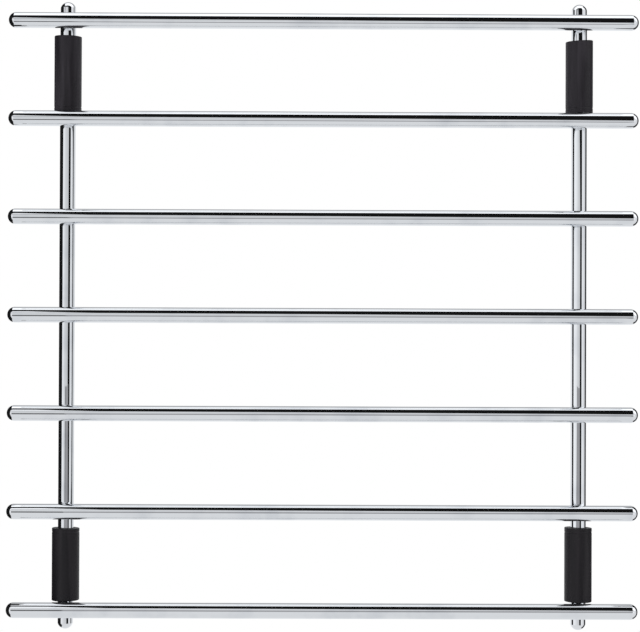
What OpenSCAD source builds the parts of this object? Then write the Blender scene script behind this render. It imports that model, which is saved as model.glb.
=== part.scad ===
// Removable window security grille.
// Seven round tubes lie across the front of two round posts. Each crossing is a saddle notch drawn
// tight from behind by a screw that runs through the post into a threaded plug inside the bar.
// Domed caps close every tube, and four rubber sleeves grip the posts in the two outer bays.
//
// Frame: +X to the right, +Z up, the bars face -Y. The origin lies midway between the posts, on
// the plane through their axes, level with the lower shoulders where the foot domes begin.

/* [Grille] */
// Number of bars
bar_count = 7; // [3:1:8]
// Distance between the axes of neighbouring bars
bar_pitch = 100; // [60:1:140]
// Length of a bar from dome tip to dome tip
bar_length = 642; // [300:1:1200]
// Distance from the axis of a post to the nearer tip of a bar
bar_overhang = 58.5; // [45:0.5:120]
// Distance from an outer bar's axis to the nearer tip of a post
post_overhang = 21; // [17:0.5:60]

/* [Tube] */
// Outside diameter of the bars and the posts
tube_od = 16; // [13:0.5:22]
// Wall thickness of the bars and the posts
tube_wall = 2; // [1.5:0.1:2.6]
// Depth of the saddle notch that each post beds into
saddle_depth = 1; // [0.4:0.1:1.2]

/* [End caps] */
// Height of the dome beyond its shoulder
dome_height = 6; // [3:0.5:6]
// Straight length of a bar cap outside its tube
bar_collar = 0.8; // [0.5:0.1:3]
// Straight length of a post cap outside its tube, which is the part that enters a socket
post_collar = 6; // [4:0.5:8]
// How far a cap's surface lies inside the tube's
cap_step = 0.2; // [0.1:0.05:0.4]
// Length of the spigot that is pressed into a bar
bar_spigot = 14; // [6:1:25]
// Length of a post cap's spigot beyond the outer screw, which passes through it and locks it
spigot_land = 4; // [3:0.5:12]

/* [Sleeves] */
// Thickness of the rubber
sleeve_wall = 6; // [4.5:0.1:9]
// Free play of a sleeve between the bars that stop it
sleeve_travel = 7.4; // [2:0.1:20]
// Width of the chamfer around a sleeve's ends
sleeve_chamfer = 0.8; // [0.2:0.1:2]
// How much longer than the others the upper left sleeve was cut
head_left_extra = 1.5; // [0:0.1:1.9]

/* [Screws] */
// Diameter of the screw shank
screw_d = 5; // [4:0.5:6]
// Length of a screw under its head
screw_length = 25; // [20:1:30]
// Diameter of the button head
head_d = 9.5; // [8:0.5:11]
// Height of the button head
head_height = 2.75; // [2:0.05:3]
// Width across the flats of the hexagon socket
hex_flats = 3; // [2:0.5:4]
// Depth of the hexagon socket
hex_depth = 1.6; // [1:0.1:1.8]
// Diameter of the saddle washer
washer_d = 11; // [10:0.5:13]
// Thickness of the saddle washer over the crown of the post
washer_crown = 1.5; // [1:0.1:3]
// Length of the threaded plug inside a bar
plug_length = 16; // [10:1:24]

/* [Clearances] */
// Radial gap of plugs, spigots, saddles and washers
fit_gap = 0.05; // [0.02:0.01:0.1]
// Radial gap between a sleeve and its post
sleeve_gap = 0.05; // [0.02:0.01:0.1]
// Gap left between a sleeve and the bar that stops it
stop_gap = 0.3; // [0.2:0.1:1]
// Radial gap of the drilled holes around the screws
drill_gap = 0.15; // [0.05:0.05:0.3]
// Depth of the threaded hole beyond the tip of the screw
thread_runout = 2; // [0.5:0.5:3]

/* [Hidden] */
tube_r = tube_od / 2;
bore_r = tube_r - tube_wall;
post_x = bar_length / 2 - bar_overhang;
cap_r = tube_r - cap_step;
drill_r = screw_d / 2 + drill_gap;
plug_r = bore_r - fit_gap;
// The bars lie this far in front of the plane of the posts
bar_y = -(tube_od - saddle_depth);
lowest_bar_z = post_overhang - dome_height;
highest_bar_z = lowest_bar_z + (bar_count - 1) * bar_pitch;
post_shoulder_z = highest_bar_z + lowest_bar_z;
// From the face of a post's tube to the screw that locks its cap
lock_depth = lowest_bar_z - post_collar;
sleeve_bore_r = tube_r + sleeve_gap;
sleeve_r = sleeve_bore_r + sleeve_wall;
sleeve_length = bar_pitch - tube_od - 2 * stop_gap - sleeve_travel;
// The screw heads bear on the flat backs of the saddle washers
seat_y = tube_r + washer_crown;
screw_tip_y = seat_y - screw_length;
tip_chamfer = 0.8;
spigot_chamfer = 1;
// Cutting tools run this far past the faces that they open
cut = 1;

SIDES = [["left", -1], ["right", 1]];
$fn = 96;

// Height of bar number i, counted up from the sill
function bar_z(i) = lowest_bar_z + (i - 1) * bar_pitch;

// Lower end of a sleeve that rests on bar number i
function sleeve_rest_z(i) = bar_z(i) + tube_r + stop_gap;

module rod(r, from, to) {
    translate([0, 0, from]) cylinder(r = r, h = to - from);
}

// Turns a shape drawn along +Z to run along +Y
module along_y() {
    rotate([-90, 0, 0]) children();
}

// Turns a shape drawn along +Z to run along +X, or -X on the left
module along_x(sense = 1) {
    rotate([0, 90 * sense, 0]) children();
}

// Part of a ball of the stated height on a circle of radius r
module dome(r, height) {
    ball_r = (r * r + height * height) / (2 * height);
    intersection() {
        translate([0, 0, height - ball_r]) sphere(r = ball_r);
        rod(r + cut, 0, height + cut);
    }
}

// Domed cap along +Z: the face of its tube is at z = 0
module end_cap(collar, spigot) {
    translate([0, 0, collar]) dome(cap_r, dome_height);
    rod(cap_r, 0, collar);
    rod(plug_r, spigot_chamfer - spigot, 0);
    translate([0, 0, -spigot])
        cylinder(r1 = plug_r - spigot_chamfer, r2 = plug_r, h = spigot_chamfer);
}

// Cap of a post, cross-drilled for the outer screw
module locked_cap() {
    difference() {
        end_cap(post_collar, lock_depth + drill_r + spigot_land);
        translate([0, -tube_od, -lock_depth]) along_y() cylinder(r = drill_r, h = 2 * tube_od);
    }
}

module post() {
    color("silver") difference() {
        rod(tube_r, post_collar, post_shoulder_z - post_collar);
        rod(bore_r, post_collar - cut, post_shoulder_z - post_collar + cut);
        for (i = [1:bar_count])
            translate([0, -tube_od, bar_z(i)]) along_y() cylinder(r = drill_r, h = 2 * tube_od);
    }
}

module post_cap(end) {
    color("gainsboro")
        if (end == "foot") translate([0, 0, post_collar]) mirror([0, 0, 1]) locked_cap();
        else translate([0, 0, post_shoulder_z - post_collar]) locked_cap();
}

module bar(i) {
    half_tube = bar_length / 2 - dome_height - bar_collar;
    color("silver") difference() {
        translate([0, bar_y, bar_z(i)]) along_x() difference() {
            rod(tube_r, -half_tube, half_tube);
            rod(bore_r, -half_tube - cut, half_tube + cut);
        }
        for (side = SIDES) translate([side[1] * post_x, 0, bar_z(i)]) {
            rod(tube_r + fit_gap, -tube_od, tube_od);
            translate([0, bar_y, 0]) along_y() cylinder(r = drill_r, h = tube_od);
        }
    }
}

module bar_cap(i, sense) {
    tube_face_x = bar_length / 2 - dome_height - bar_collar;
    color("gainsboro") translate([sense * tube_face_x, bar_y, bar_z(i)])
        along_x(sense) end_cap(bar_collar, bar_spigot);
}

// Soft sleeve with chamfered ends, its lower end at z = 0
module sleeve(length) {
    color([0.13, 0.13, 0.14]) difference() {
        union() {
            cylinder(r1 = sleeve_r - sleeve_chamfer, r2 = sleeve_r, h = sleeve_chamfer);
            rod(sleeve_r, sleeve_chamfer, length - sleeve_chamfer);
            translate([0, 0, length - sleeve_chamfer])
                cylinder(r1 = sleeve_r, r2 = sleeve_r - sleeve_chamfer, h = sleeve_chamfer);
        }
        rod(sleeve_bore_r, -cut, length + cut);
    }
}

module placed_sleeve(level, side) {
    below = level == "foot" ? 1 : bar_count - 1;
    extra = level == "head" && side[0] == "left" ? head_left_extra : 0;
    translate([side[1] * post_x, 0, sleeve_rest_z(below)]) sleeve(sleeve_length + extra);
}

// Button head screw along +Y: its head bears at y = seat_y
module screw() {
    shank_r = screw_d / 2;
    color("gainsboro") along_y() difference() {
        union() {
            translate([0, 0, seat_y]) dome(head_d / 2, head_height);
            rod(shank_r, screw_tip_y + tip_chamfer, seat_y + cut);
            translate([0, 0, screw_tip_y])
                cylinder(r1 = shank_r - tip_chamfer, r2 = shank_r, h = tip_chamfer);
        }
        translate([0, 0, seat_y + head_height - hex_depth])
            cylinder(d = hex_flats / cos(30), h = head_height, $fn = 6);
    }
}

// Washer that is flat behind and hollowed to the round of the post in front
module saddle_washer() {
    color("gainsboro") difference() {
        along_y() rod(washer_d / 2, 0, seat_y);
        rod(tube_r + fit_gap, -tube_od, tube_od);
        along_y() rod(drill_r, -cut, seat_y + cut);
    }
}

// Threaded plug inside the bar that the screw pulls on
module threaded_plug() {
    color("darkgray") difference() {
        translate([0, bar_y, 0]) along_x() rod(plug_r, -plug_length / 2, plug_length / 2);
        along_y() rod(screw_d / 2 + fit_gap, screw_tip_y - thread_runout, 0);
    }
}

module at_crossings(side) {
    for (i = [1:bar_count]) translate([side[1] * post_x, 0, bar_z(i)]) children();
}

for (side = SIDES) {
    translate([side[1] * post_x, 0, 0]) post();
    for (end = ["foot", "head"])
        translate([side[1] * post_x, 0, 0]) post_cap(end);
    for (i = [1:bar_count])
        bar_cap(i, side[1]);
    for (level = ["foot", "head"])
        placed_sleeve(level, side);
    at_crossings(side) screw();
    at_crossings(side) saddle_washer();
    at_crossings(side) threaded_plug();
}
for (i = [1:bar_count])
    bar(i);
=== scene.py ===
"""Looks of a chromed window guard: seven bars on two posts, with four black rubber sleeves."""

import logging
import math
from dataclasses import dataclass
from enum import Enum
from typing import Any, Mapping, Sequence

import bmesh
import bpy
from mathutils import Matrix, Vector


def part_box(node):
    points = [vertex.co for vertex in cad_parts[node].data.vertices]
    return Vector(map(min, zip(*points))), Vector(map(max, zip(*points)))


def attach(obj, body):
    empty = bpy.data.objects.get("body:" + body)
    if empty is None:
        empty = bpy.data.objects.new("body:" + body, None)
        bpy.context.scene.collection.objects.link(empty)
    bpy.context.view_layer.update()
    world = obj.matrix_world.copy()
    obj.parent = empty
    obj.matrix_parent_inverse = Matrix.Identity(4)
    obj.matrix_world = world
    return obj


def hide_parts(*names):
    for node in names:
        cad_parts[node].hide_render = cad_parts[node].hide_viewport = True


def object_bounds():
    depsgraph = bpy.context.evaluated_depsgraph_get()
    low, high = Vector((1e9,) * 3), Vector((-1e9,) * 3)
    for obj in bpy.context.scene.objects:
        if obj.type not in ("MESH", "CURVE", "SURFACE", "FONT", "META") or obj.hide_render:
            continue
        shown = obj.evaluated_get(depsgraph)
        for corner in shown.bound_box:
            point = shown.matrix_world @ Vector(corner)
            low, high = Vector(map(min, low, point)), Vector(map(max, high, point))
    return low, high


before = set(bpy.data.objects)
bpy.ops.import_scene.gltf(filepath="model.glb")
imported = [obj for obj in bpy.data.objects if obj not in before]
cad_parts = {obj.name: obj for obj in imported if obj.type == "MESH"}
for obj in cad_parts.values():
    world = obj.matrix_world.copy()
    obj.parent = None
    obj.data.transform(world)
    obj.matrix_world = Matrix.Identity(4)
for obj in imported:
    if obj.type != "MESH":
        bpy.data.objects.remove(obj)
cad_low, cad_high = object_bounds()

log = logging.getLogger("window_guard")

MM = 0.001

Point = tuple[float, float, float]
Pair = tuple[float, float]


def linear(colour: str) -> tuple[float, float, float, float]:
    """Turn an sRGB hex colour into linear values.

    Args:
        colour: Six hex digits after a hash, such as "#c8ccd0".

    Returns:
        Red, green and blue, linear, and a full alpha.
    """
    parts = [int(colour[i:i + 2], 16) / 255 for i in (1, 3, 5)]
    red, green, blue = (p / 12.92 if p <= 0.04045 else ((p + 0.055) / 1.055) ** 2.4 for p in parts)
    return red, green, blue, 1.0


def feed(tree: bpy.types.NodeTree, node: bpy.types.Node, inputs: Mapping[str | int, Any]) -> None:
    """Link or set what goes into a node.

    Args:
        tree: The tree that the node is in.
        node: The node.
        inputs: Its inputs by name or number. A socket is linked, anything else is set as the value.
    """
    for key, value in inputs.items():
        if isinstance(value, bpy.types.NodeSocket):
            tree.links.new(value, node.inputs[key])
        else:
            node.inputs[key].default_value = value


def add_node(
    tree: bpy.types.NodeTree,
    kind: str,
    settings: Mapping[str, Any] | None = None,
    inputs: Mapping[str | int, Any] | None = None,
) -> bpy.types.Node:
    """Add one node, set it up and link what feeds it.

    Args:
        tree: The tree that the node goes in.
        kind: The node's type, such as "ShaderNodeMath".
        settings: Properties of the node by name.
        inputs: Its inputs by name or number. A socket is linked, anything else is set as the value.

    Returns:
        The new node.
    """
    node = tree.nodes.new(kind)
    for name, value in (settings or {}).items():
        setattr(node, name, value)
    feed(tree, node, inputs or {})
    return node


def shape_ramp(node: bpy.types.Node, stops: Sequence[tuple[float, str | float]]) -> bpy.types.NodeSocket:
    """Give a colour ramp its stops.

    Args:
        node: The ramp.
        stops: Position from 0 to 1, and an sRGB hex colour or a linear grey, for each stop.

    Returns:
        The ramp's colour output.
    """
    elements = node.color_ramp.elements
    while len(elements) < len(stops):
        elements.new(0.5)
    for element, (position, value) in zip(elements, stops):
        element.position = position
        element.color = linear(value) if isinstance(value, str) else (value, value, value, 1.0)
    return node.outputs["Color"]


class Run(Enum):
    """The axis that a tube, an extrusion or a turned part runs along."""

    ALONG_X = 0
    ALONG_Z = 2


class Side(Enum):
    """The two sides of the guard, as the names of its nodes give them."""

    LEFT = "left"
    RIGHT = "right"


class End(Enum):
    """The two ends of an upright piece, as the names of its nodes give them."""

    FOOT = "foot"
    HEAD = "head"


class Zone(Enum):
    """Where on a sleeve's wall a point of its section lies."""

    OUTSIDE = "outside"
    OUTER_EDGE = "outer edge"
    CUT_FACE = "cut face"
    BORE_EDGE = "bore edge"
    BORE = "bore"


def repeats(size_mm: float) -> float:
    """Repeats for each metre of a pattern of this size."""
    return 1 / (size_mm * MM)


def stretch(run: Run, along: float, across: float) -> Point:
    """Scale for a pattern that is longer along a part than across it.

    Args:
        run: The direction that the part runs in.
        along: Length of one repeat along the part, in millimetres.
        across: Length of one repeat across the part, in millimetres.

    Returns:
        Repeats for each metre in x, y and z.
    """
    scale = [repeats(across)] * 3
    scale[run.value] = repeats(along)
    return scale[0], scale[1], scale[2]


def blank_tree(owner: bpy.types.Material | bpy.types.World) -> bpy.types.NodeTree:
    """Turn on the nodes of a material or a world and clear them away.

    Args:
        owner: The material or the world.

    Returns:
        Its empty node tree.
    """
    owner.use_nodes = True
    owner.node_tree.nodes.clear()
    return owner.node_tree


def fresh_material(name: str) -> tuple[bpy.types.Material, bpy.types.NodeTree, bpy.types.Node]:
    """Make an empty material with a principled shader wired to its output.

    Args:
        name: The material's name.

    Returns:
        The material, its node tree and the shader.
    """
    material = bpy.data.materials.new(name)
    tree = blank_tree(material)
    shader = add_node(tree, "ShaderNodeBsdfPrincipled")
    add_node(tree, "ShaderNodeOutputMaterial", inputs={"Surface": shader.outputs["BSDF"]})
    return material, tree, shader


def stand(name: str, shell: bmesh.types.BMesh) -> bpy.types.Object:
    """Turn a finished shell into an object in the scene.

    Args:
        name: Name of the object and of its mesh.
        shell: The shell. It is freed.

    Returns:
        The object.
    """
    mesh = bpy.data.meshes.new(name)
    shell.to_mesh(mesh)
    shell.free()
    thing = bpy.data.objects.new(name, mesh)
    bpy.context.scene.collection.objects.link(thing)
    return thing


@dataclass(frozen=True)
class BrightChromePlate:
    """Bright decorative chrome on drawn steel tube.

    The tube is buffed, nickel plated and flashed with chrome, so it mirrors the room almost without blur.
    What gives it away as metal and not glass is a cool cast, the long faint waves that drawing leaves under
    the plate, and a few hairlines from handling.
    """

    name: str
    run: Run
    colour: str = "#eef0f3"
    smoky: str = "#dcdfe4"
    gloss: float = 0.012
    haze: float = 0.045
    wave_mm: float = 46.0
    wave_across_mm: float = 9.0
    wave_depth_mm: float = 0.14
    wave_strength: float = 0.25
    hairline_mm: float = 22.0
    hairline_across_mm: float = 0.55
    hairline_dulling: float = 0.45
    hairline_relief: float = -0.015
    hairline_range: Pair = (0.60, 0.74)
    smudge_mm: float = 38.0
    smudge_range: Pair = (0.50, 0.78)

    def make(self) -> bpy.types.Material:
        """Build the material.

        Returns:
            The chrome, for parts that run in this direction.
        """
        material, tree, shader = fresh_material(self.name)
        place = add_node(tree, "ShaderNodeTexCoord").outputs["Object"]
        waves = add_node(tree, "ShaderNodeTexNoise", inputs={
            "Vector": add_node(tree, "ShaderNodeMapping", inputs={
                "Vector": place, "Scale": stretch(self.run, self.wave_mm, self.wave_across_mm)}).outputs[0],
            "Scale": 1.0, "Detail": 1.5, "Roughness": 0.4})
        # Real hairlines are a few hundredths of a millimetre wide. They are drawn about half a millimetre
        # wide to show.
        fine = stretch(self.run, self.hairline_mm, self.hairline_across_mm)
        lines = add_node(tree, "ShaderNodeTexNoise", inputs={
            "Vector": add_node(tree, "ShaderNodeMapping", inputs={"Vector": place, "Scale": fine}).outputs[0],
            "Scale": 1.0, "Detail": 3.0, "Roughness": 0.6})
        smudges = add_node(tree, "ShaderNodeTexNoise", inputs={
            "Vector": place, "Scale": repeats(self.smudge_mm), "Detail": 4.0, "Roughness": 0.55})
        worn = shape_ramp(add_node(tree, "ShaderNodeValToRGB", inputs={"Fac": lines.outputs["Fac"]}),
                          [(self.hairline_range[0], 0.0), (self.hairline_range[1], 1.0)])
        veil = shape_ramp(add_node(tree, "ShaderNodeValToRGB", inputs={"Fac": smudges.outputs["Fac"]}),
                          [(self.smudge_range[0], 0.0), (self.smudge_range[1], 1.0)])
        dull = add_node(tree, "ShaderNodeMath", {"operation": "MULTIPLY_ADD", "use_clamp": True},
                        {0: worn, 1: self.hairline_dulling, 2: veil})
        roughness = add_node(tree, "ShaderNodeMapRange", inputs={
            "Value": dull.outputs[0], "To Min": self.gloss, "To Max": self.haze})
        tint = add_node(tree, "ShaderNodeMix", {"data_type": "RGBA"}, {
            "Factor": veil, 6: linear(self.colour), 7: linear(self.smoky)})
        relief = add_node(tree, "ShaderNodeMath", {"operation": "MULTIPLY_ADD"}, {
            0: worn, 1: self.hairline_relief, 2: waves.outputs["Fac"]})
        bump = add_node(tree, "ShaderNodeBump", inputs={
            "Height": relief.outputs[0], "Strength": self.wave_strength, "Distance": self.wave_depth_mm * MM})
        feed(tree, shader, {"Metallic": 1.0, "Base Color": tint.outputs[2],
                            "Roughness": roughness.outputs[0], "Normal": bump.outputs[0]})
        return material


@dataclass(frozen=True)
class PolishedChromeCap:
    """Bright chrome on a turned and polished steel cap.

    A cap is turned on a lathe and buffed on a wheel before plating, so it mirrors like the tube, with the
    faintest rings left by the tool round its axis.
    """

    name: str
    run: Run
    colour: str = "#f0f1f4"
    gloss: float = 0.012
    haze: float = 0.035
    ring_mm: float = 0.6
    ring_round_mm: float = 60.0
    ring_depth_mm: float = 0.02
    ring_strength: float = 0.10
    wipe_mm: float = 5.0
    wipe_range: Pair = (0.35, 0.8)

    def make(self) -> bpy.types.Material:
        """Build the material.

        Returns:
            The chrome, for caps whose axis runs in this direction.
        """
        material, tree, shader = fresh_material(self.name)
        place = add_node(tree, "ShaderNodeTexCoord").outputs["Object"]
        # Tool rings are about 0.1 mm apart. They are drawn six times as coarse to show.
        rings = add_node(tree, "ShaderNodeTexNoise", inputs={
            "Vector": add_node(tree, "ShaderNodeMapping", inputs={
                "Vector": place, "Scale": stretch(self.run, self.ring_mm, self.ring_round_mm)}).outputs[0],
            "Scale": 1.0, "Detail": 2.0})
        wipe = add_node(tree, "ShaderNodeTexNoise", inputs={
            "Vector": place, "Scale": repeats(self.wipe_mm), "Detail": 3.0})
        roughness = add_node(tree, "ShaderNodeMapRange", inputs={
            "Value": wipe.outputs["Fac"], "From Min": self.wipe_range[0], "From Max": self.wipe_range[1],
            "To Min": self.gloss, "To Max": self.haze})
        bump = add_node(tree, "ShaderNodeBump", inputs={
            "Height": rings.outputs["Fac"], "Strength": self.ring_strength,
            "Distance": self.ring_depth_mm * MM})
        feed(tree, shader, {"Metallic": 1.0, "Base Color": linear(self.colour),
                            "Roughness": roughness.outputs[0], "Normal": bump.outputs[0]})
        return material


@dataclass(frozen=True)
class ExtrudedRubber:
    """Black EPDM rubber tube, extruded, cured and cut to length with a knife.

    Carbon black makes it nearly black. The die leaves fine lines along the tube and the cure a soft bloom,
    so it has a broad dull sheen rather than a highlight. The knife leaves the cut ends a little greyer.
    """

    name: str
    colour: str = "#131015"
    bloom: str = "#272327"
    cut: str = "#2b2a2c"
    scuff: str = "#3a383b"
    line_mm: float = 0.45
    line_run_mm: float = 70.0
    grain_mm: float = 0.32
    grain_relief: float = 0.5
    relief_mm: float = 0.06
    relief_strength: float = 0.35
    cloud_mm: float = 7.5
    cloud_run_mm: float = 110.0
    bloom_range: Pair = (0.36, 0.66)
    sheen_range: Pair = (0.3, 0.75)
    rub_mm: float = 6.0
    rub_range: Pair = (0.64, 0.76)
    rub_share: float = 0.55
    end_slope: Pair = (0.35, 0.85)
    gloss: float = 0.46
    haze: float = 0.62
    shine: float = 0.30

    def make(self) -> bpy.types.Material:
        """Build the material.

        Returns:
            The rubber, for sleeves that stand upright.
        """
        material, tree, shader = fresh_material(self.name)
        place = add_node(tree, "ShaderNodeTexCoord").outputs["Object"]
        # Die lines are about 0.1 mm apart. They are drawn four times as coarse to show.
        lines = add_node(tree, "ShaderNodeTexNoise", inputs={
            "Vector": add_node(tree, "ShaderNodeMapping", inputs={
                "Vector": place, "Scale": stretch(Run.ALONG_Z, self.line_run_mm, self.line_mm)}).outputs[0],
            "Scale": 1.0, "Detail": 3.0, "Roughness": 0.6})
        grain = add_node(tree, "ShaderNodeTexNoise", inputs={
            "Vector": place, "Scale": repeats(self.grain_mm), "Detail": 2.0, "Roughness": 0.7})
        cloud = add_node(tree, "ShaderNodeTexNoise", inputs={
            "Vector": add_node(tree, "ShaderNodeMapping", inputs={
                "Vector": place, "Scale": stretch(Run.ALONG_Z, self.cloud_run_mm, self.cloud_mm)}).outputs[0],
            "Scale": 1.0, "Detail": 4.0, "Roughness": 0.5})
        rub = add_node(tree, "ShaderNodeTexNoise", inputs={
            "Vector": place, "Scale": repeats(self.rub_mm), "Detail": 5.0, "Roughness": 0.7})
        paler = shape_ramp(add_node(tree, "ShaderNodeValToRGB", inputs={"Fac": cloud.outputs["Fac"]}),
                             [(self.bloom_range[0], 0.0), (self.bloom_range[1], 1.0)])
        rubbed = shape_ramp(add_node(tree, "ShaderNodeValToRGB", inputs={"Fac": rub.outputs["Fac"]}),
                            [(self.rub_range[0], 0.0), (self.rub_range[1], self.rub_share)])
        normal = add_node(tree, "ShaderNodeSeparateXYZ", inputs={
            "Vector": add_node(tree, "ShaderNodeNewGeometry").outputs["True Normal"]}).outputs["Z"]
        sliced = add_node(tree, "ShaderNodeMapRange", {"interpolation_type": "SMOOTHSTEP"}, {
            "Value": add_node(tree, "ShaderNodeMath", {"operation": "ABSOLUTE"}, {0: normal}).outputs[0],
            "From Min": self.end_slope[0], "From Max": self.end_slope[1]}).outputs[0]
        body = add_node(tree, "ShaderNodeMix", {"data_type": "RGBA"}, {
            "Factor": paler, 6: linear(self.colour), 7: linear(self.bloom)}).outputs[2]
        scuffed = add_node(tree, "ShaderNodeMix", {"data_type": "RGBA"}, {
            "Factor": rubbed, 6: body, 7: linear(self.scuff)}).outputs[2]
        dressed = add_node(tree, "ShaderNodeMix", {"data_type": "RGBA"}, {
            "Factor": sliced, 6: scuffed, 7: linear(self.cut)}).outputs[2]
        roughness = add_node(tree, "ShaderNodeMapRange", inputs={
            "Value": cloud.outputs["Fac"], "From Min": self.sheen_range[0], "From Max": self.sheen_range[1],
            "To Min": self.gloss, "To Max": self.haze})
        relief = add_node(tree, "ShaderNodeMath", {"operation": "MULTIPLY_ADD"}, {
            0: grain.outputs["Fac"], 1: self.grain_relief, 2: lines.outputs["Fac"]})
        bump = add_node(tree, "ShaderNodeBump", inputs={
            "Height": relief.outputs[0], "Strength": self.relief_strength, "Distance": self.relief_mm * MM})
        feed(tree, shader, {"Specular IOR Level": self.shine, "Base Color": dressed,
                            "Roughness": roughness.outputs[0], "Normal": bump.outputs[0]})
        return material


@dataclass(frozen=True)
class ZincPlate:
    """Clear passivated zinc on cold headed or stamped steel.

    Zinc is plated dull and passivated, so it is a soft grey with a blue and straw cast that drifts over the
    part, and the header or the press leaves a fine grit in it.
    """

    name: str
    colour: str = "#bcc2c8"
    straw: str = "#c9c4b2"
    gloss: float = 0.24
    haze: float = 0.40
    cast_mm: float = 7.0
    cast_range: Pair = (0.42, 0.70)
    grit_mm: float = 0.22
    grit_depth_mm: float = 0.02
    grit_strength: float = 0.3
    grit_range: Pair = (0.3, 0.7)

    def make(self) -> bpy.types.Material:
        """Build the material.

        Returns:
            The zinc plate.
        """
        material, tree, shader = fresh_material(self.name)
        place = add_node(tree, "ShaderNodeTexCoord").outputs["Object"]
        cast = add_node(tree, "ShaderNodeTexNoise", inputs={
            "Vector": place, "Scale": repeats(self.cast_mm), "Detail": 3.0})
        grit = add_node(tree, "ShaderNodeTexNoise", inputs={
            "Vector": place, "Scale": repeats(self.grit_mm), "Detail": 2.0})
        drift = shape_ramp(add_node(tree, "ShaderNodeValToRGB", inputs={"Fac": cast.outputs["Fac"]}),
                           [(self.cast_range[0], 0.0), (self.cast_range[1], 1.0)])
        tint = add_node(tree, "ShaderNodeMix", {"data_type": "RGBA"}, {
            "Factor": drift, 6: linear(self.colour), 7: linear(self.straw)})
        roughness = add_node(tree, "ShaderNodeMapRange", inputs={
            "Value": grit.outputs["Fac"], "From Min": self.grit_range[0], "From Max": self.grit_range[1],
            "To Min": self.gloss, "To Max": self.haze})
        bump = add_node(tree, "ShaderNodeBump", inputs={
            "Height": grit.outputs["Fac"], "Strength": self.grit_strength,
            "Distance": self.grit_depth_mm * MM})
        feed(tree, shader, {"Metallic": 1.0, "Base Color": tint.outputs[2],
                            "Roughness": roughness.outputs[0], "Normal": bump.outputs[0]})
        return material


@dataclass(frozen=True)
class TurnedSteel:
    """Plain free cutting steel, turned from bar and left oiled.

    The tool leaves close rings along the axis that spread the light across them, and the oil darkens the
    steel a little in patches.
    """

    name: str
    run: Run
    colour: str = "#9a9c9e"
    oiled: str = "#74726e"
    gloss: float = 0.26
    haze: float = 0.46
    ring_mm: float = 0.35
    ring_round_mm: float = 40.0
    ring_depth_mm: float = 0.03
    ring_strength: float = 0.4
    oil_mm: float = 9.0

    def make(self) -> bpy.types.Material:
        """Build the material.

        Returns:
            The turned steel.
        """
        material, tree, shader = fresh_material(self.name)
        place = add_node(tree, "ShaderNodeTexCoord").outputs["Object"]
        rings = add_node(tree, "ShaderNodeTexNoise", inputs={
            "Vector": add_node(tree, "ShaderNodeMapping", inputs={
                "Vector": place, "Scale": stretch(self.run, self.ring_mm, self.ring_round_mm)}).outputs[0],
            "Scale": 1.0, "Detail": 2.0})
        oil = add_node(tree, "ShaderNodeTexNoise", inputs={
            "Vector": place, "Scale": repeats(self.oil_mm), "Detail": 4.0})
        tint = add_node(tree, "ShaderNodeMix", {"data_type": "RGBA"}, {
            "Factor": oil.outputs["Fac"], 6: linear(self.colour), 7: linear(self.oiled)})
        roughness = add_node(tree, "ShaderNodeMapRange", inputs={
            "Value": rings.outputs["Fac"], "To Min": self.gloss, "To Max": self.haze})
        bump = add_node(tree, "ShaderNodeBump", inputs={
            "Height": rings.outputs["Fac"], "Strength": self.ring_strength,
            "Distance": self.ring_depth_mm * MM})
        feed(tree, shader, {"Metallic": 1.0, "Base Color": tint.outputs[2],
                            "Roughness": roughness.outputs[0], "Normal": bump.outputs[0]})
        return material


def dress(node: str, material: bpy.types.Material) -> None:
    """Give a carried-over CAD node its finish.

    Args:
        node: The CAD node's name.
        material: Its finish.
    """
    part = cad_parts[node]
    for holder in part.material_slots:
        holder.material = material
    log.info("%s wears %s", node, material.name)


@dataclass(frozen=True)
class CutEnd:
    """How a knife left one end of a sleeve: cut short, at a slant, or shorter in front and behind."""

    trim_mm: float = 0.0
    slant_mm: float = 0.4
    full_side_deg: float = 0.0
    saddle_mm: float = 0.0

    def short(self, turn: float) -> float:
        """How far the end falls short of the sleeve's full length at an angle round it, in metres."""
        lean = 0.5 - 0.5 * math.cos(turn - math.radians(self.full_side_deg))
        return (self.trim_mm + self.slant_mm * lean + self.saddle_mm * math.sin(turn) ** 2) * MM


@dataclass(frozen=True)
class SectionPoint:
    """One point of a sleeve's section.

    It has a zone of the wall, an end where the zone has two, its share of the way along the zone, and its
    angle on a rounding in radians.
    """

    zone: Zone
    end: End = End.FOOT
    share: float = 0.0
    bend: float = 0.0


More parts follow.
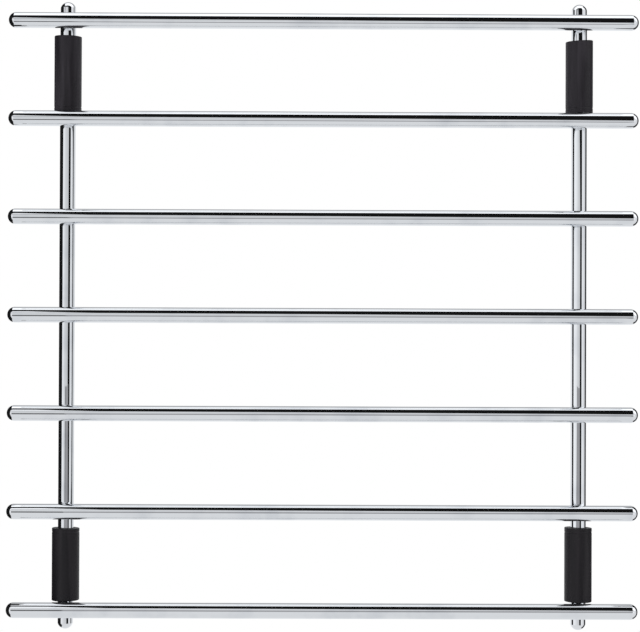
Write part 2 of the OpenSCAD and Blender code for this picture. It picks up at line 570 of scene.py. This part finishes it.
@dataclass(frozen=True)
class RubberSleeve:
    """One thick rubber tube on a post, cut by hand at both ends.

    The phase is an angle in radians that sets where this sleeve's ovalness, die lines and knife mark lie.
    """

    node: str
    head: CutEnd
    foot: CutEnd
    phase: float
    score_mm: float
    scored_end: End = End.FOOT
    # True for the upper pair, which wears the paler copy of the rubber, painted lighter as if lit from above.
    paler: bool = False
    bore_radius_mm: float = 8.05
    skin_mm: float = 0.06
    oval_mm: float = 0.10
    swell_mm: float = 31.0
    swell_phases: float = 1.7
    swell_share: float = 0.45
    line_depth_mm: float = 0.05
    line_width_rad: float = 0.05
    line_turns_rad: tuple[float, ...] = (0.4, 1.15, 2.3, 2.55, 3.9, 5.2, 5.85)
    score_depth_mm: float = 0.32
    score_width_mm: float = 0.5
    score_wander_mm: float = 0.5
    outer_round_mm: float = 0.55
    bore_round_mm: float = 0.45
    dish_mm: float = 0.18
    around: int = 160
    rows: int = 48
    fine_rows: int = 17
    fine_row_mm: float = 0.22
    bore_rows: int = 14
    end_rows: int = 5
    corner_rows: int = 6

    def outer_radius(self, turn: float, height: float, full: float) -> float:
        """Outside radius at a place on the sleeve.

        Args:
            turn: Angle round the sleeve, in radians.
            height: Height above the sleeve's foot, in metres.
            full: The radius of the CAD solid, in metres.

        Returns:
            A radius a little inside the CAD solid's, in metres.
        """
        oval = 0.5 + 0.5 * math.cos(2 * turn + self.phase)
        swell = 0.5 + 0.5 * math.sin(height / (self.swell_mm * MM) + self.swell_phases * self.phase
                                     + math.cos(turn))
        oval *= 1 - self.swell_share + self.swell_share * swell
        die = sum(max(0.0, 1 - abs(math.remainder(turn - self.phase - line, math.tau)) / self.line_width_rad)
                  for line in self.line_turns_rad)
        return full - (self.skin_mm + self.oval_mm * oval + self.line_depth_mm * die) * MM

    def score(self, turn: float, height: float, length: float) -> float:
        """Depth of the shallow knife mark that runs round near one end.

        Args:
            turn: Angle round the sleeve, in radians.
            height: Height above the cut foot, in metres.
            length: Length between the cut ends at this angle, in metres.

        Returns:
            The depth, in metres.
        """
        at = (self.score_mm + self.score_wander_mm * math.sin(turn + self.phase)) * MM
        place = length - at if self.scored_end is End.HEAD else at
        return self.score_depth_mm * MM * math.exp(-(((height - place) / (self.score_width_mm * MM)) ** 2))

    def shares(self, length: float) -> list[float]:
        """Heights of the rows up the outside, close together round the knife mark.

        Args:
            length: Length of the sleeve, in metres.

        Returns:
            Shares of the length, rising.
        """
        mark = self.score_mm * MM / length
        mark = 1 - mark if self.scored_end is End.HEAD else mark
        step = self.fine_row_mm * MM / length
        reach = self.fine_rows // 2
        fine = [mark + k * step for k in range(-reach, reach + 1)]
        wide = [i / self.rows for i in range(1, self.rows)]
        return sorted(fine + [share for share in wide if abs(share - mark) > (reach + 1) * step])

    def section(self, length: float) -> list[SectionPoint]:
        """Section of the wall, walked from the foot up the outside and back down the bore.

        Args:
            length: Length of the sleeve, in metres.

        Returns:
            The points of the section.
        """
        quarter = [math.radians(90 * i / self.corner_rows) for i in range(self.corner_rows + 1)]
        across = [i / self.end_rows for i in range(1, self.end_rows)]
        points = [SectionPoint(Zone.OUTER_EDGE, End.FOOT, bend=math.pi / 2 - bend) for bend in quarter]
        points += [SectionPoint(Zone.OUTSIDE, share=share) for share in self.shares(length)]
        points += [SectionPoint(Zone.OUTER_EDGE, End.HEAD, bend=bend) for bend in quarter]
        points += [SectionPoint(Zone.CUT_FACE, End.HEAD, share) for share in across]
        points += [SectionPoint(Zone.BORE_EDGE, End.HEAD, bend=math.pi / 2 - bend) for bend in quarter[::2]]
        points += [SectionPoint(Zone.BORE, share=1 - i / self.bore_rows) for i in range(1, self.bore_rows)]
        points += [SectionPoint(Zone.BORE_EDGE, End.FOOT, bend=bend) for bend in quarter[::2]]
        points += [SectionPoint(Zone.CUT_FACE, End.FOOT, 1 - share) for share in across]
        return points

    def place(self, point: SectionPoint, turn: float, low: Vector, high: Vector) -> Vector:
        """Find one vertex of the sleeve.

        Args:
            point: A point of the section.
            turn: Angle round the sleeve, in radians.
            low: Lowest corner of the CAD solid.
            high: Highest corner of the CAD solid.

        Returns:
            The vertex, in the row frame.
        """
        centre, full = (low + high) / 2, (high.x - low.x) / 2
        foot, head = low.z + self.foot.short(turn), high.z - self.head.short(turn)
        bore, fillet, lip = self.bore_radius_mm * MM, self.outer_round_mm * MM, self.bore_round_mm * MM
        edge, inward = (head, -1) if point.end is End.HEAD else (foot, 1)
        if point.zone is Zone.OUTSIDE:
            z = foot + fillet + (head - foot - 2 * fillet) * point.share
            r = self.outer_radius(turn, z - low.z, full) - self.score(turn, z - foot, head - foot)
        elif point.zone is Zone.OUTER_EDGE:
            z = edge + inward * fillet * (1 - math.sin(point.bend))
            r = self.outer_radius(turn, edge - low.z, full) - fillet * (1 - math.cos(point.bend))
        elif point.zone is Zone.BORE:
            z = foot + lip + (head - foot - 2 * lip) * point.share
            r = bore
        elif point.zone is Zone.BORE_EDGE:
            z = edge + inward * lip * (1 - math.sin(point.bend))
            r = bore + lip * (1 - math.cos(point.bend))
        else:
            rim = self.outer_radius(turn, edge - low.z, full) - fillet
            z = edge + inward * self.dish_mm * MM * math.sin(math.pi * point.share)
            r = rim + (bore + lip - rim) * point.share
        return Vector((centre.x + r * math.cos(turn), centre.y + r * math.sin(turn), z))

    def build(self) -> bpy.types.Object:
        """Build the sleeve's mesh in the space of its CAD solid.

        Returns:
            The bare sleeve.
        """
        low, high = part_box(self.node)
        section = self.section(high.z - low.z)
        shell = bmesh.new()
        turns = [math.tau * k / self.around for k in range(self.around)]
        rings = [[shell.verts.new(self.place(point, turn, low, high)) for point in section] for turn in turns]
        for ring, following in zip(rings, rings[1:] + rings[:1]):
            for i in range(len(section)):
                j = (i + 1) % len(section)
                shell.faces.new((ring[i], following[i], following[j], ring[j])).smooth = True
        bmesh.ops.recalc_face_normals(shell, faces=shell.faces)
        return stand(self.node + "_rubber", shell)

    def fit(self, rubber: bpy.types.Material) -> None:
        """Build the sleeve, dress it and put it in its CAD node's stead, on its own body.

        Args:
            rubber: The finish.
        """
        sleeve = self.build()
        sleeve.data.materials.append(rubber)
        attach(sleeve, self.node)
        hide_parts(self.node)
        log.info("%s: %d faces, replaces %s", sleeve.name, len(sleeve.data.polygons), self.node)


@dataclass(frozen=True)
class SleeveSet:
    """The four sleeves, each with its own cut ends."""

    sleeves: tuple[RubberSleeve, ...] = (
        RubberSleeve("sleeve_head_left", phase=0.3, score_mm=4.4, paler=True,
                     head=CutEnd(slant_mm=0.6, full_side_deg=180, saddle_mm=0.3),
                     foot=CutEnd(slant_mm=0.3)),
        RubberSleeve("sleeve_head_right", phase=1.9, score_mm=5.2, paler=True,
                     head=CutEnd(trim_mm=0.5, slant_mm=1.6, saddle_mm=0.5),
                     foot=CutEnd(slant_mm=0.4, full_side_deg=120)),
        RubberSleeve("sleeve_foot_left", phase=3.4, score_mm=4.0, scored_end=End.HEAD,
                     head=CutEnd(trim_mm=2.0, slant_mm=0.5, full_side_deg=200),
                     foot=CutEnd(slant_mm=0.3, full_side_deg=180)),
        RubberSleeve("sleeve_foot_right", phase=4.8, score_mm=4.6, scored_end=End.HEAD,
                     head=CutEnd(slant_mm=0.6, full_side_deg=200),
                     foot=CutEnd(slant_mm=0.5)),
    )
    # Paler rubber for the upper pair: painted light, lighter as if more light fell on the top sleeves.
    painted_lit_colour: str = "#1c181e"
    painted_lit_bloom: str = "#38343a"

    def fit(self) -> None:
        """Fit every sleeve on its post. The upper pair wears a paler copy of the rubber: painted light,
        lighter as if more light fell on the top of the guard.
        """
        plain_rubber = ExtrudedRubber("extruded_rubber").make()
        upper_lit_rubber = ExtrudedRubber("extruded_rubber_painted_lit", self.painted_lit_colour, self.painted_lit_bloom).make()
        for sleeve in self.sleeves:
            sleeve.fit(upper_lit_rubber if sleeve.paler else plain_rubber)


@dataclass(frozen=True)
class ChromedLadder:
    """The bars, posts and caps that stay as the CAD made them."""

    bar_count: int = 7

    def dress_bars(self) -> None:
        """Plate the bars and their caps."""
        tube = BrightChromePlate("bright_chrome_bar", Run.ALONG_X).make()
        cap = PolishedChromeCap("polished_chrome_bar_cap", Run.ALONG_X).make()
        for i in range(1, self.bar_count + 1):
            dress(f"bar_{i}", tube)
            for side in Side:
                dress(f"cap_bar_{i}_{side.value}", cap)

    def dress_posts(self) -> None:
        """Plate the posts and their caps."""
        tube = BrightChromePlate("bright_chrome_post", Run.ALONG_Z).make()
        cap = PolishedChromeCap("polished_chrome_post_cap", Run.ALONG_Z).make()
        for side in Side:
            dress(f"post_{side.value}", tube)
            for end in End:
                dress(f"cap_post_{side.value}_{end.value}", cap)


@dataclass(frozen=True)
class Fasteners:
    """The screws, saddle washers and threaded plugs at the crossings."""

    screw: ZincPlate = ZincPlate("zinc_plated_screw")
    washer: ZincPlate = ZincPlate("zinc_plated_washer", colour="#b2b7bd", gloss=0.30, haze=0.46, grit_mm=0.3)
    plug: TurnedSteel = TurnedSteel("turned_steel_plug", Run.ALONG_X)

    def dress(self) -> None:
        """Give each kind of fastener its finish."""
        screw, washer, plug = self.screw.make(), self.washer.make(), self.plug.make()
        for side in Side:
            dress(f"screws_{side.value}", screw)
            dress(f"washers_{side.value}", washer)
            dress(f"plugs_{side.value}", plug)


@dataclass(frozen=True)
class Card:
    """A flag or a reflector that only mirrors see.

    Its strips are pairs of points across it, from one end to the other, in millimetres from the middle of the
    object. Its grey is linear.
    """

    name: str
    grey: float
    strips: tuple[tuple[Point, Point], ...]


def on_edge(name: str, grey: float, near: Pair, far: Pair, reach: float) -> Card:
    """Shape a card that stands on edge.

    Args:
        name: The card's name.
        grey: How light it is.
        near: Where its first upright edge stands, in x and y.
        far: Where its other upright edge stands, in x and y.
        reach: How far it reaches above and below the middle.

    Returns:
        The card.
    """
    return Card(name, grey, tuple(((*near, z), (*far, z)) for z in (-reach, reach)))


def rail(name: str, grey: float, left: float, right: float) -> Card:
    """Shape a low rail that runs from left to right in front of the object.

    Args:
        name: The card's name.
        grey: How light it is.
        left: Where it begins, in x.
        right: Where it ends, in x.

    Returns:
        The card.
    """
    away, low, high = -897, -360, -100
    return Card(name, grey, tuple(((x, away, low), (x, away, high)) for x in (left, right)))


def canopy() -> Card:
    """Shape the black canopy that slopes down to the right over the front of the object.

    Returns:
        The card.
    """
    back = (-225, 746)
    wing = [(-1500, -600, 668), (-435, -600, 668)]
    front = [(x, -1070, z) for x, z in (
        (-350, 545), (-190, 505), (10, 432), (210, 330), (360, 255), (530, 150))]
    return Card("flag_over_front", 0.008, tuple(((place[0], *back), place) for place in wing + front))


CARDS = (
    canopy(),
    Card("boom_front_left", 0.10, (((-1500, -1070, 560), (-1500, -1070, 640)),
                                   ((-350, -1070, 545), (-350, -1070, 610)))),
    rail("rail_in_front", 0.34, -380, 490),
    rail("rail_end", 0.12, -490, -380),
    on_edge("flag_right_front", 0.004, (735, -2260), (990, -934), 1000),
    on_edge("flag_left", 0.01, (-450, -90), (-450, 350), 620),
    on_edge("flag_right", 0.03, (450, 20), (450, 240), 620),
)

# How light the room is, going round over the object and round beside it: degrees from straight ahead, where
# the camera stands, and a linear grey.
ROOM_OVER: tuple[Pair, ...] = (
    (-180, 1.05), (-158, 0.98), (-140, 0.88), (-118, 0.80), (-60, 0.78), (-12, 0.80), (2, 0.72), (26, 0.72),
    (44, 1.0), (60, 1.3), (104, 1.3), (113, 0.85), (123, 0.40), (137, 0.42), (152, 0.58), (168, 0.85),
    (180, 1.05))
ROOM_BESIDE: tuple[Pair, ...] = (
    (-180, 0.85), (-150, 0.95), (-90, 1.0), (-62, 1.0), (-40, 0.88), (-20, 0.74), (-10, 0.71), (12, 0.64),
    (30, 0.64), (50, 1.0), (72, 0.80), (100, 0.68), (130, 0.70), (165, 0.9), (180, 0.85))

# Between these heights of a direction, the light beside the object gives way to the light over and under it.
LEVEL_RANGE: Pair = (0.12, 0.24)

# The room and the cards are a shade cool, so that the chrome is too.
WHITE = (1.0, 1.0, 1.0, 1.0)
COOL_WHITE = (0.97, 0.985, 1.0, 1.0)
CARD_BLUE = 1.03


@dataclass(frozen=True)
class RoundFloor:
    """A round pale floor well under the object, fading into the white room towards its rim.

    It fades between two shares of its radius. It is pale grey paint with a mottle that barely shows.
    """

    drop_mm: float = 2500.0
    radius_mm: float = 4600.0
    fade_from: float = 0.45
    fade_to: float = 0.98
    mottle_mm: float = 111.0
    dark: str = "#f0f0f1"
    pale: str = "#f2f2f3"
    corners: int = 128


@dataclass(frozen=True)
class LongLens:
    """The camera: a long lens in front of the middle, a shade low and turned by less than a degree."""

    sensor_mm: float = 36.0
    focal_mm: float = 102.5
    nearest_m: float = 0.05
    farthest_m: float = 60.0
    place_mm: Point = (-13.6, -1864.9, -17.1)
    yaw_deg: float = -0.325
    pitch_deg: float = 0.522
    roll_deg: float = -0.226


@dataclass(frozen=True)
class Studio:
    """A white room with black flags for the chrome to mirror, a pale floor and the camera."""

    low: Vector
    high: Vector
    floor: RoundFloor = RoundFloor()
    lens: LongLens = LongLens()

    def point(self, x: float, y: float, z: float) -> Vector:
        """A place in the studio, in millimetres from the middle of the object."""
        return (self.low + self.high) / 2 + Vector((x, y, z)) * MM

    def hang(self, card: Card) -> None:
        """Hang a card.

        Args:
            card: The card.
        """
        shell = bmesh.new()
        pairs = [[shell.verts.new(self.point(*place)) for place in pair] for pair in card.strips]
        for (a, b), (c, d) in zip(pairs, pairs[1:]):
            shell.faces.new((a, b, d, c))
        board = stand(card.name, shell)
        material = bpy.data.materials.new(card.name)
        tree = blank_tree(material)
        glow = add_node(tree, "ShaderNodeEmission", inputs={
            "Color": (card.grey, card.grey, card.grey * CARD_BLUE, 1), "Strength": 1.0})
        add_node(tree, "ShaderNodeOutputMaterial", inputs={"Surface": glow.outputs[0]})
        board.data.materials.append(material)
        board.visible_camera = board.visible_diffuse = board.visible_shadow = False
        board.visible_transmission = board.visible_volume_scatter = False
        log.info("%s hung", card.name)

    def light_world(self) -> None:
        """Wrap the object in a soft white room that is greyer in front, low down and far back."""
        world = bpy.data.worlds.new("soft_white_room")
        bpy.context.scene.world = world
        tree = blank_tree(world)
        way = add_node(tree, "ShaderNodeSeparateXYZ", inputs={
            "Vector": add_node(tree, "ShaderNodeTexCoord").outputs["Generated"]}).outputs
        toward = add_node(tree, "ShaderNodeMath", {"operation": "MULTIPLY"}, {
            0: way["Y"], 1: -1.0}).outputs[0]

        def turned(rise: bpy.types.NodeSocket, stops: Sequence[Pair]) -> bpy.types.NodeSocket:
            """Make the light round one axis.

            Args:
                rise: How far a direction leans from straight ahead.
                stops: Degrees from straight ahead, and a linear grey.

            Returns:
                The grey in every direction.
            """
            angle = add_node(tree, "ShaderNodeMath", {"operation": "ARCTAN2"}, {
                0: rise, 1: toward}).outputs[0]
            share = add_node(tree, "ShaderNodeMath", {"operation": "MULTIPLY_ADD"}, {
                0: angle, 1: 1 / math.tau, 2: 0.5}).outputs[0]
            ramp = add_node(tree, "ShaderNodeValToRGB", inputs={"Fac": share})
            return shape_ramp(ramp, [((degrees + 180) / 360, grey) for degrees, grey in stops])

        over = turned(way["Z"], ROOM_OVER)
        beside = turned(way["X"], ROOM_BESIDE)
        height = add_node(tree, "ShaderNodeMath", {"operation": "ABSOLUTE"}, {0: way["Z"]}).outputs[0]
        level = add_node(tree, "ShaderNodeMapRange", {"interpolation_type": "SMOOTHSTEP"}, {
            "Value": height, "From Min": LEVEL_RANGE[0], "From Max": LEVEL_RANGE[1],
            "To Min": 1.0, "To Max": 0.0}).outputs[0]
        room = add_node(tree, "ShaderNodeMix", {"data_type": "RGBA"}, {
            "Factor": level, 6: over, 7: beside}).outputs[2]
        cool = add_node(tree, "ShaderNodeMix", {"data_type": "RGBA", "blend_type": "MULTIPLY"}, {
            "Factor": 1.0, 6: room, 7: COOL_WHITE}).outputs[2]
        seen = add_node(tree, "ShaderNodeMix", {"data_type": "RGBA"}, {
            "Factor": add_node(tree, "ShaderNodeLightPath").outputs["Is Camera Ray"],
            6: cool, 7: WHITE}).outputs[2]
        glow = add_node(tree, "ShaderNodeBackground", inputs={"Color": seen, "Strength": 1.0})
        add_node(tree, "ShaderNodeOutputWorld", inputs={"Surface": glow.outputs[0]})
        log.info("room lit")

    def lay_floor(self) -> None:
        """Lay the floor, which fades into the room at its rim."""
        floor, radius = self.floor, self.floor.radius_mm * MM
        disc = bmesh.new()
        bmesh.ops.create_circle(disc, cap_ends=True, segments=floor.corners, radius=radius)
        slab = stand("pale_floor", disc)
        middle = self.point(0, 0, 0)
        slab.location = (middle.x, middle.y, self.low.z - floor.drop_mm * MM)
        material = bpy.data.materials.new("pale_floor")
        tree = blank_tree(material)
        place = add_node(tree, "ShaderNodeTexCoord").outputs["Object"]
        reach = add_node(tree, "ShaderNodeVectorMath", {"operation": "LENGTH"}, {0: place}).outputs["Value"]
        fade = add_node(tree, "ShaderNodeMapRange", {"interpolation_type": "SMOOTHSTEP"}, {
            "Value": reach, "From Min": floor.fade_from * radius,
            "From Max": floor.fade_to * radius}).outputs[0]
        mottle = add_node(tree, "ShaderNodeTexNoise", inputs={
            "Vector": place, "Scale": repeats(floor.mottle_mm), "Detail": 5.0})
        paint = shape_ramp(add_node(tree, "ShaderNodeValToRGB", inputs={"Fac": mottle.outputs["Fac"]}),
                           [(0.3, floor.dark), (0.7, floor.pale)])
        matt = add_node(tree, "ShaderNodeBsdfDiffuse", inputs={"Color": paint})
        glow = add_node(tree, "ShaderNodeEmission", inputs={"Color": WHITE, "Strength": 1.0})
        blend = add_node(tree, "ShaderNodeMixShader", inputs={
            0: fade, 1: matt.outputs[0], 2: glow.outputs[0]})
        add_node(tree, "ShaderNodeOutputMaterial", inputs={"Surface": blend.outputs[0]})
        slab.data.materials.append(material)
        slab.visible_glossy = False
        log.info("floor laid")

    def set_camera(self) -> None:
        """Stand the camera in its place and look through it."""
        lens = bpy.data.cameras.new("long_lens")
        lens.sensor_width, lens.lens = self.lens.sensor_mm, self.lens.focal_mm
        lens.clip_start, lens.clip_end = self.lens.nearest_m, self.lens.farthest_m
        camera = bpy.data.objects.new("long_lens", lens)
        turns = ((self.lens.yaw_deg, "Z"), (self.lens.pitch_deg, "X"), (self.lens.roll_deg, "Y"), (90, "X"))
        pose = Matrix.Translation(self.point(*self.lens.place_mm))
        for degrees, axis in turns:
            pose = pose @ Matrix.Rotation(math.radians(degrees), 4, axis)
        camera.matrix_world = pose
        bpy.context.scene.collection.objects.link(camera)
        bpy.context.scene.camera = camera
        log.info("camera set")


def main() -> None:
    """Build and dress every sub-assembly in order."""
    logging.basicConfig(level=logging.INFO, format="%(name)s: %(message)s")
    bpy.context.scene.view_settings.view_transform = "Standard"
    ladder = ChromedLadder()
    ladder.dress_bars()
    ladder.dress_posts()
    Fasteners().dress()
    SleeveSet().fit()
    studio = Studio(cad_low, cad_high)
    studio.light_world()
    for card in CARDS:
        studio.hang(card)
    studio.lay_floor()
    studio.set_camera()


if __name__ == "__main__":
    main()
